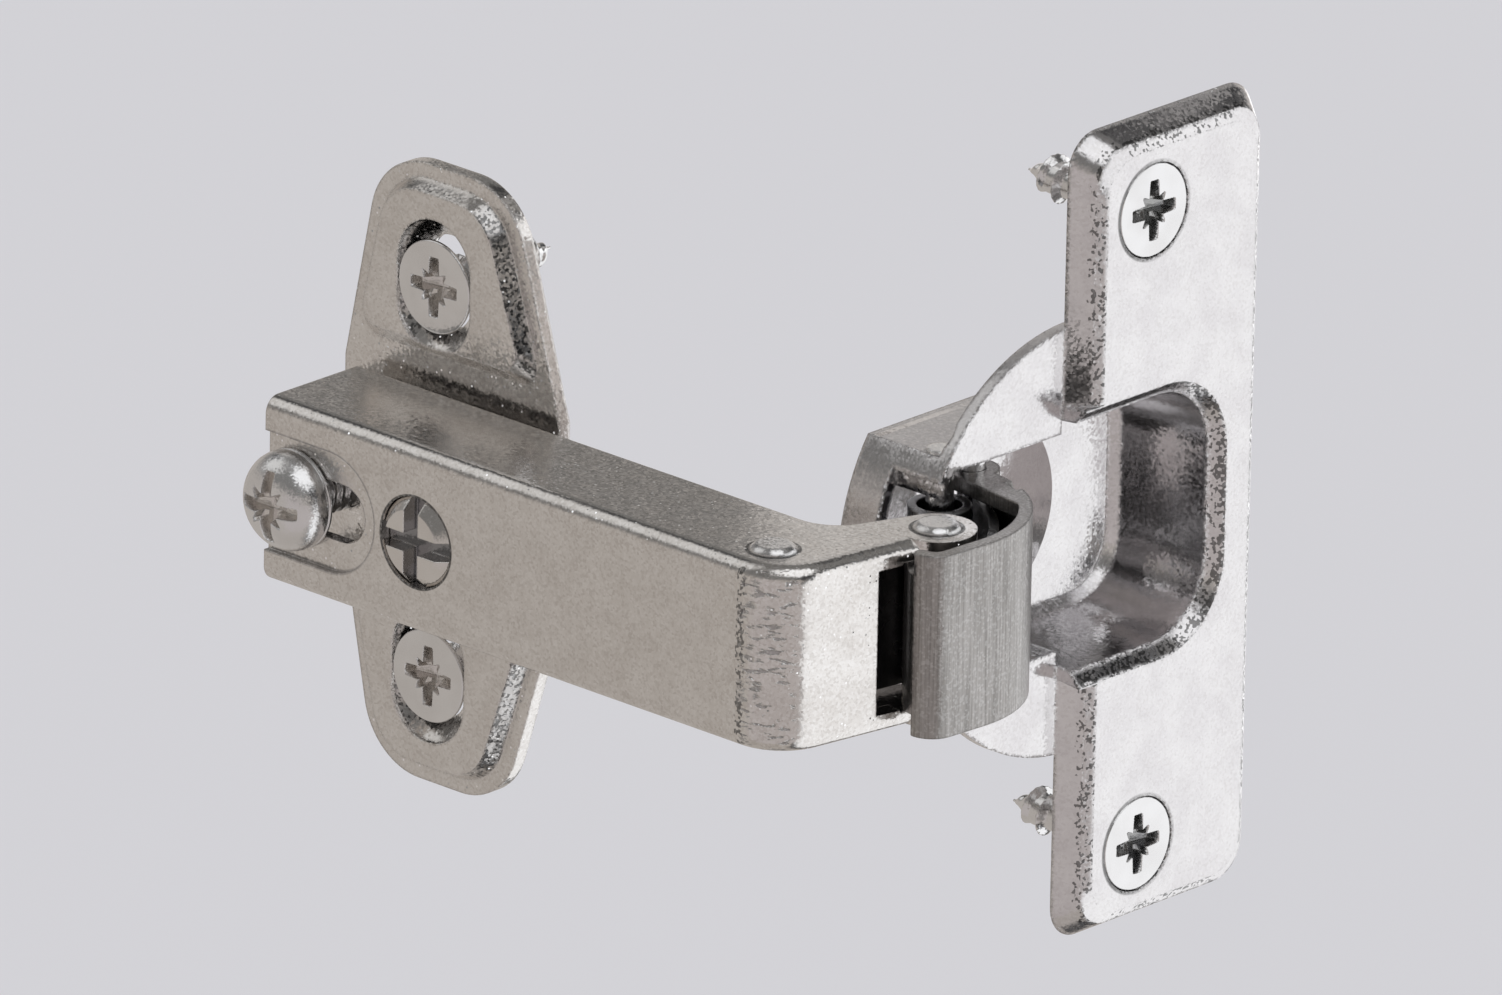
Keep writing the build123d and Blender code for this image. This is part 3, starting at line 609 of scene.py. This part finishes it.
def plate_nickel():
    """The mounting plate's plating, with painted shade and painted dark grains on one slope of its pads."""
    metal = Metal("plate_nickel", NICKEL, NICKEL_DIM, *PLATE_FINISH)
    facing = metal.facing()
    leaning = metal.maths("ABSOLUTE", facing[0])
    tilted = metal.between(leaning, *PAD_SLOPE_TILTED)
    steep = metal.between(leaning, *PAD_SLOPE_STEEP)
    slope = metal.product(tilted, steep, metal.between(facing[1], *PAD_SLOPE_SIDE))
    # Painted shade and painted dark grains on the slope facing the cup
    metal.cover(metal.product(slope, PAD_SLOPE_SHADE), DARK_STEEL_AND_PAINTED_SHADE)
    metal.speckle(PAD_SLOPE_GRAIN, metal.product(slope, PAD_SLOPE_SPECKLE))
    metal.waves(*PLATE_WAVES)
    metal.grain(*PLATE_GRAIN)
    metal.sparkle(*PLATE_SPARKLE)
    metal.specks(*PLATE_SPECKS)
    return metal.done()


def craze(metal, inside):
    """Short cracks in the plating where the arm's web is bent."""
    starts = metal.between_mm(metal.y, *CRAZED_FROM)
    ends = metal.between_mm(metal.x, *CRAZED_TO)
    lines = metal.between(metal.noise(metal.place, CRACK_SIZE, CRACK_DETAIL, CRACK_STRETCH), *CRACK_BAND)
    patches = metal.between(metal.noise(metal.place, CRACK_PATCH_SIZE), *CRACK_PATCH_BAND)
    crack = metal.product(lines, patches, starts, ends, inside)
    metal.press(metal.maths("SUBTRACT", 1.0, crack), CRACK_DEPTH)
    metal.cover(metal.product(crack, CRACK_SHADE), DARK_STEEL_AND_PAINTED_SHADE)


def arm_shades(metal):
    """Shade lines round the overlay screw, round the pin heads and at the slot pad's edge."""
    gap = metal.ring_of((ARM_WEB, OVERLAY_Y, 0), (1, 0, 0), OVERLAY_RADIUS + OVERLAY_GAP, SHADE_LINE)
    outside = metal.maths("LESS_THAN", metal.x, (ARM_WEB + SURFACE) * MM)
    metal.cover(metal.product(gap, outside), RECESS_SHADE)
    past_centre = metal.maths("MINIMUM", metal.maths("SUBTRACT", metal.y, SLOT_PAD_CENTRE * MM), 0.0)
    slot_shape = metal.add("ShaderNodeCombineXYZ", X=past_centre, Y=metal.z).outputs[0]
    pad_line = metal.line_at(metal.vector("LENGTH", slot_shape), SLOT_PAD_HALF, *PAD_LINE)
    on_web = metal.maths("LESS_THAN", metal.x, (ARM_WEB + SLOT_PAD_SUNK) * MM)
    metal.cover(metal.product(pad_line, on_web, PAD_LINE_SHADE), DARK_STEEL_AND_PAINTED_SHADE)
    for centre, radius in PIN_HEADS:
        rim = metal.ring_of((*centre, 0), (0, 0, 1), radius, SHADE_LINE)
        away = metal.maths("ABSOLUTE", metal.z)
        on_flange = metal.maths("GREATER_THAN", away, (ARM_HALF_HEIGHT - SURFACE) * MM)
        metal.cover(metal.product(rim, on_flange), RECESS_SHADE)


def bend_line(metal, inside):
    """Painted dark grains along the line where the bend starts, standing for a dark reflection."""
    on_web = metal.maths("LESS_THAN", metal.x, (ARM_WEB + BEND_LINE_DEPTH) * MM)
    starts = metal.between_mm(metal.y, *BEND_LINE_FROM)
    ends = metal.between_mm(metal.y, *BEND_LINE_TO)
    metal.speckle(BEND_LINE_GRAIN, metal.product(starts, ends, inside, on_web, BEND_LINE_SPECKLE))


def arm_nickel():
    """The arm's plating: dense fine sparkle, and marks where the web is bent."""
    metal = Metal("arm_nickel", NICKEL, NICKEL_DIM, *ARM_FINISH)
    inside = metal.between_mm(metal.z, *TOP_FADE)
    metal.waves(*ARM_WAVES)
    craze(metal, inside)
    arm_shades(metal)
    bend_line(metal, inside)
    metal.grain(*ARM_GRAIN)
    metal.sparkle(*ARM_SPARKLE)
    metal.specks(*ARM_SPECKS)
    return metal.done()


def cup_floor_relief(metal):
    """The low round crown of the cup's floor and the floor's rise round it, in mm."""
    away = metal.vector("DISTANCE", metal.place, tuple(CUP_DISC_CENTRE * MM))
    past = metal.maths("MAXIMUM", metal.maths("SUBTRACT", away, CUP_DISC_RADIUS * MM), 0.0)
    within = metal.maths("MINIMUM", metal.maths("DIVIDE", away, CUP_DISC_RADIUS * MM), 1.0)
    crown = metal.product(metal.maths("POWER", within, CUP_DISC_POWER), -CUP_DISC_CROWN)
    rim = metal.product(past, CUP_RIM_SLOPE / MM)
    from_front = metal.maths("GREATER_THAN", metal.y, (CUP_FLOOR - SURFACE) * MM)
    over_back = metal.maths("LESS_THAN", metal.y, (CUP_FLOOR + CUP_SHEET / 2) * MM)
    return metal.product(metal.maths("ADD", rim, crown), from_front, over_back)


def cup_shades(metal):
    """Painted shade on the trough's lower wall, painted dark grains on the folds and painted shade round
    the screws.
    """
    facing = metal.facing()
    in_trough = metal.between_mm(metal.y, *TROUGH_FADE)
    faces_up = metal.between(facing[2], *FACES_UP)
    metal.cover(metal.product(in_trough, faces_up, LOWER_WALL_SHADE), DARK_STEEL_AND_PAINTED_SHADE)
    slope = metal.between(metal.maths("ABSOLUTE", facing[1]), *FOLD_BAND)
    near_face = metal.between_mm(metal.y, FLANGE_MIDDLE, FLANGE_FACE)
    metal.speckle(FOLD_GRAIN, metal.product(slope, near_face, FOLD_SPECKLE))
    screw_x, screw_y, screw_z = CUP_SCREW_PLACE
    to_side = metal.between_mm(metal.x, *(screw_x + step for step in SEAT_SIDE))
    shade = metal.maths("MULTIPLY_ADD", to_side, SEAT_SIDE_SHADE, SEAT_SHADE)
    for end in (1, -1):
        centre = (screw_x, screw_y, end * screw_z)
        seat = metal.ring_of(centre, (0, 1, 0), SCREW_HEAD_RADIUS + SEAT_GAP, SEAT_LINE)
        metal.cover(metal.product(seat, shade), RECESS_SHADE)


def cup_nickel():
    """The cup's brighter plating."""
    metal = Metal("cup_nickel", CUP_NICKEL, CUP_NICKEL_DIM, *CUP_FINISH)
    metal.waves(*CUP_WAVES)
    metal.press(cup_floor_relief(metal), 1.0)
    cup_shades(metal)
    metal.grain(*CUP_GRAIN)
    metal.sparkle(*CUP_SPARKLE)
    return metal.done()


def link_steel():
    """The rolled link, with lines of fine brushing along its height."""
    metal = Metal("link_steel", LINK_STEEL, LINK_STEEL, *LINK_FINISH)
    lines = metal.noise(metal.place, BRUSH_WIDTH, BRUSH_DETAIL, BRUSH_STRETCH)
    metal.cover(metal.between(lines, *BRUSH_BAND), LINK_STEEL_DIM)
    metal.press(lines, BRUSH_DEPTH)
    metal.grain(*LINK_GRAIN)
    metal.sparkle(*LINK_SPARKLE)
    return metal.done()


def dark_steel():
    """The inner link and the leaf spring."""
    metal = Metal("dark_steel", DARK_STEEL_AND_PAINTED_SHADE, DARK_STEEL_DIM, *DARK_FINISH)
    metal.waves(*DARK_WAVES)
    metal.grain(*DARK_GRAIN)
    return metal.done()


def overlay_zinc():
    """The adjusting screw, with shade in the floor of its cross."""
    metal = Metal("overlay_zinc", NICKEL, NICKEL_DIM, *OVERLAY_FINISH)
    from_axis = metal.maths("ABSOLUTE", metal.maths("SUBTRACT", metal.y, OVERLAY_Y * MM))
    nearest = metal.maths("MINIMUM", from_axis, metal.maths("ABSOLUTE", metal.z))
    in_bar = metal.maths("LESS_THAN", nearest, OVERLAY_BAR * MM)
    deep = metal.between_mm(metal.x, *(OVERLAY_FACE + depth for depth in OVERLAY_GROOVE))
    above_foot = metal.maths("LESS_THAN", metal.x, (OVERLAY_FACE + OVERLAY_THICK) * MM)
    metal.cover(metal.product(in_bar, deep, above_foot), DARK_STEEL_AND_PAINTED_SHADE)
    metal.waves(*SCREW_WAVES)
    metal.grain(*OVERLAY_GRAIN)
    return metal.done()


def recess_steel(name, bright, dim):
    """The struck walls of a drive recess, in given colours; the cup's darker ones are painted shade."""
    metal = Metal(name, bright, dim, *RECESS_FINISH)
    metal.waves(*RECESS_WAVES)
    return metal.done()


def bright_steel(name, finish, grain):
    """The pins and the plated screws."""
    metal = Metal(name, ZINC, ZINC_DIM, *finish)
    metal.waves(*SCREW_WAVES)
    metal.grain(*grain)
    return metal.done()


def dress(material, *names):
    """Give CAD nodes a material."""
    for name in names:
        for slot in nodes[name].material_slots:
            slot.material = material
        if not nodes[name].material_slots:
            nodes[name].data.materials.append(material)


def star_depth(across, along, reach):
    """How far the drive recess goes below the head at a point, 0 outside it."""
    deepest = 0.0
    for turn in range(8):
        angle = turn * math.pi / 4
        size, width, narrowing = STAR_ARMS[turn % 2]
        out = across * math.cos(angle) + along * math.sin(angle)
        side = abs(along * math.cos(angle) - across * math.sin(angle))
        if out < 0 or out > size * reach:
            continue
        share = out / (size * reach)
        wall = min(max((width / 2 * (1 - narrowing * share) - side) / STAR_WALL, 0), 1)
        end = min((size * reach - out) / STAR_END, 1)
        floor = size * STAR_DEPTH * (STAR_FLOOR + (1 - STAR_FLOOR) * (1 - share))
        deepest = max(deepest, floor * wall * end)
    return deepest


def ring(radius, height, shape=None):
    """One ring of points round Z, where shape may change the radius and height at an angle."""
    points = []
    for step in range(SEGMENTS):
        angle = 2 * math.pi * step / SEGMENTS
        far, high = shape(radius, height, angle) if shape else (radius, height)
        points.append((far * math.cos(angle), far * math.sin(angle), high))
    return points


def thread(core, depth, pitch):
    """A ring's shape on a threaded shank."""
    def shape(radius, height, angle):
        share = (height / pitch + angle / (2 * math.pi)) % 1
        ridge = max(1 - abs(share - 0.5) / THREAD_RIDGE, 0)
        return radius * (core + depth * ridge) / (core + depth), height
    return shape


def recess_rings(reach, edge, face_height):
    """The rings of a head's face out to an edge, with its star recess."""
    def shape(radius, height, angle):
        depth = star_depth(radius * math.cos(angle), radius * math.sin(angle), reach)
        return radius, height - depth
    radii = [edge * step / RECESS_RINGS for step in range(1, RECESS_RINGS + 1)]
    return [ring(radius, face_height(radius), shape) for radius in radii]


def turned_piece(name, rings, tip, place, normal, side, face_height, metals):
    """A closed mesh through rings of points, on a plane given by its normal and side.

    The first metal covers it, and the second covers the drive recess.
    """
    third = normal.cross(side)
    turn = Matrix((side, third, normal)).transposed()
    points = [(0, 0, rings[0][0][2])]
    for one in rings:
        points += one
    points.append(tip)
    faces = [(0, 1 + step, 1 + (step + 1) % SEGMENTS) for step in range(SEGMENTS)]
    for level in range(len(rings) - 1):
        start = 1 + level * SEGMENTS
        for step in range(SEGMENTS):
            after = (step + 1) % SEGMENTS
            faces.append((start + step, start + SEGMENTS + step, start + SEGMENTS + after, start + after))
    start = 1 + (len(rings) - 1) * SEGMENTS
    last = len(points) - 1
    faces += [(start + step, last, start + (step + 1) % SEGMENTS) for step in range(SEGMENTS)]
    mesh = bpy.data.meshes.new(name)
    placed = [(Vector(place) + turn @ Vector(point)) * MM for point in points]
    mesh.from_pydata(placed, [], faces)
    piece = bpy.data.objects.new(name, mesh)
    bpy.context.scene.collection.objects.link(piece)
    for metal in metals:
        mesh.materials.append(metal)
    for face in mesh.polygons[:SEGMENTS * RECESS_RINGS]:
        corners = [points[index] for index in face.vertices]
        drops = [face_height(math.hypot(x, y)) - z for x, y, z in corners]
        face.material_index = 1 if min(drops) > RECESS_START else 0
    mesh.shade_smooth()
    mesh.set_sharp_from_angle(angle=math.radians(SHARP_ANGLE))
    return piece


def stand_for(piece, node, body):
    """The piece takes the place of a CAD node on its body."""
    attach(piece, body)
    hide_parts(node)


def flat_height(radius):
    """A wood screw's flat face."""
    return 0.0


def wood_screw_rings():
    """Head with its star recess, countersunk cone, threaded shank and point."""
    rings = recess_rings(STAR_REACH, STAR_REACH * STAR_MARGIN, flat_height)
    rings += [ring(radius, height) for radius, height in SCREW_HEAD_RINGS]
    outer = SCREW_CORE + SCREW_THREAD
    neck = SCREW_HEAD_LAND + SCREW_HEAD_RADIUS - outer
    rings.append(ring(outer, -neck))
    shape = thread(SCREW_CORE, SCREW_THREAD, SCREW_PITCH)
    run = SCREW_LENGTH - neck - SCREW_NECK
    for step in range(THREAD_RINGS + 1):
        height = -neck - SCREW_NECK - run * step / THREAD_RINGS
        taper = min(1.0, (SCREW_LENGTH + height) / SCREW_POINT)
        rings.append(ring(outer * max(taper, SCREW_TIP_SHARE), height, shape))
    return rings, (0, 0, -SCREW_LENGTH)


def dome_height(radius):
    """The domed head's height over its seat."""
    share = min(radius / DOME_RADIUS, 1)
    return DOME_EDGE + (DOME_HEIGHT - DOME_EDGE) * (1 - share ** DOME_POWER) ** DOME_FALL


def fixing_screw_rings():
    """Domed head with a star recess and a thin groove, and a machine thread below."""
    edge = DOME_STAR_REACH * DOME_STAR_MARGIN
    rings = recess_rings(DOME_STAR_REACH, edge, dome_height)
    for step in range(1, DOME_RINGS + 1):
        radius = edge + (DOME_RADIUS - edge) * step / DOME_RINGS
        rings.append(ring(radius, dome_height(radius)))
    rings += [ring(DOME_RADIUS - inset, height) for inset, height in DOME_EDGE_RINGS]
    outer = FIXING_CORE + FIXING_THREAD
    rings.append(ring(outer, 0))
    shape = thread(FIXING_CORE, FIXING_THREAD, FIXING_PITCH)
    run = FIXING_LENGTH - FIXING_NECK
    for step in range(THREAD_RINGS + 1):
        rings.append(ring(outer, -FIXING_NECK - run * step / THREAD_RINGS, shape))
    return rings, (0, 0, -FIXING_LENGTH)


def add_wood_screws(panel_metals, cup_metals):
    """The plate's two screws and the cup's two, in place of the source's plain ones."""
    rings, tip = wood_screw_rings()
    cup_x, cup_y, cup_z = CUP_SCREW_PLACE
    for end, side in (("upper", 1), ("lower", -1)):
        place = (PLATE_SCREW_FACE, 0, side * PLATE_SCREW_HEIGHT)
        name = "plate_wood_screw_" + end
        screw = turned_piece(name, rings, tip, place, OUT_OF_PANEL, ACROSS_PANEL, flat_height, panel_metals)
        stand_for(screw, "plate_screw_" + end, "plate")
        place = (cup_x, cup_y, side * cup_z)
        name = "cup_wood_screw_" + end
        screw = turned_piece(name, rings, tip, place, OUT_OF_DOOR, ACROSS_DOOR, flat_height, cup_metals)
        stand_for(screw, "cup_screw_" + end, "door_cup")


def add_fixing_screw(metals):
    """The domed machine screw that clamps the arm."""
    rings, tip = fixing_screw_rings()
    name = "domed_screw"
    screw = turned_piece(name, rings, tip, FIXING_SEAT, OUT_OF_PANEL, ACROSS_PANEL, dome_height, metals)
    stand_for(screw, "fixing_screw", "fixing")


target = make_camera()
make_world()
make_floor(target)
key = area_light("key", target + KEY_OFFSET, target, KEY_SIZE, KEY_RADIANCE, KEY_COLOUR)
key.visible_glossy = False
area_light(
    "back_card", BACK_CARD_PLACE, BACK_CARD_AIM, BACK_CARD_SIZE, BACK_CARD_RADIANCE, BACK_CARD_COLOUR
)

zinc = bright_steel("bright_zinc", ZINC_FINISH, ZINC_GRAIN)
satin_zinc = bright_steel("satin_zinc", SATIN_FINISH, SATIN_GRAIN)
# The cup screws' recesses get painted shade in their colours
cup_recess = recess_steel("cup_recess", CUP_RECESS_PAINTED_SHADE, DARK_STEEL_AND_PAINTED_SHADE)
panel_recess = recess_steel("panel_recess", NICKEL, NICKEL_DIM)
pins = bright_steel("pin_steel", PIN_FINISH, PIN_GRAIN)
dress(arm_nickel(), "hinge_arm")
dress(plate_nickel(), "mounting_plate")
dress(cup_nickel(), "cup")
dress(link_steel(), "outer_link")
dress(dark_steel(), "leaf_spring", "inner_link")
dress(overlay_zinc(), "overlay_screw")
dress(pins, "arm_pin_rear", "arm_pin_front", "cup_pin_outer", "cup_pin_inner")
add_wood_screws((zinc, panel_recess), (zinc, cup_recess))
add_fixing_screw((satin_zinc, panel_recess))

bpy.context.scene.view_settings.view_transform = "Standard"
